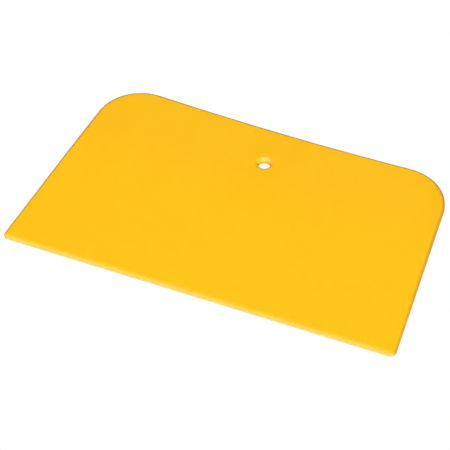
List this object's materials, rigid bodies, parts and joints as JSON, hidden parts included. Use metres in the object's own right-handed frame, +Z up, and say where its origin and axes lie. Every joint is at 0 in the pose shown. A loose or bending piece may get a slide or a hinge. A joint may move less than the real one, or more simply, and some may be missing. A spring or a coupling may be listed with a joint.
{
  "type": "squeegee applicator",
  "caption": "Flat flexible moulded spreader blade with a straight bevelled working edge, flared sides, rounded grip corners and a hanging hole.",
  "frame": {"origin": "centre of the bounding box in plan, on the flat underside that rests on the table", "axes": "+X along the working edge, +Y from the working edge to the grip edge with the hanging hole, +Z up through the thickness"},
  "size_m": [0.1524, 0.0872, 0.0032],
  "materials": {
    "blade_plastic": "satin"
  },
  "bodies": {
    "root": {"applicator_blade": "blade_plastic"}
  },
  "joints": []
}
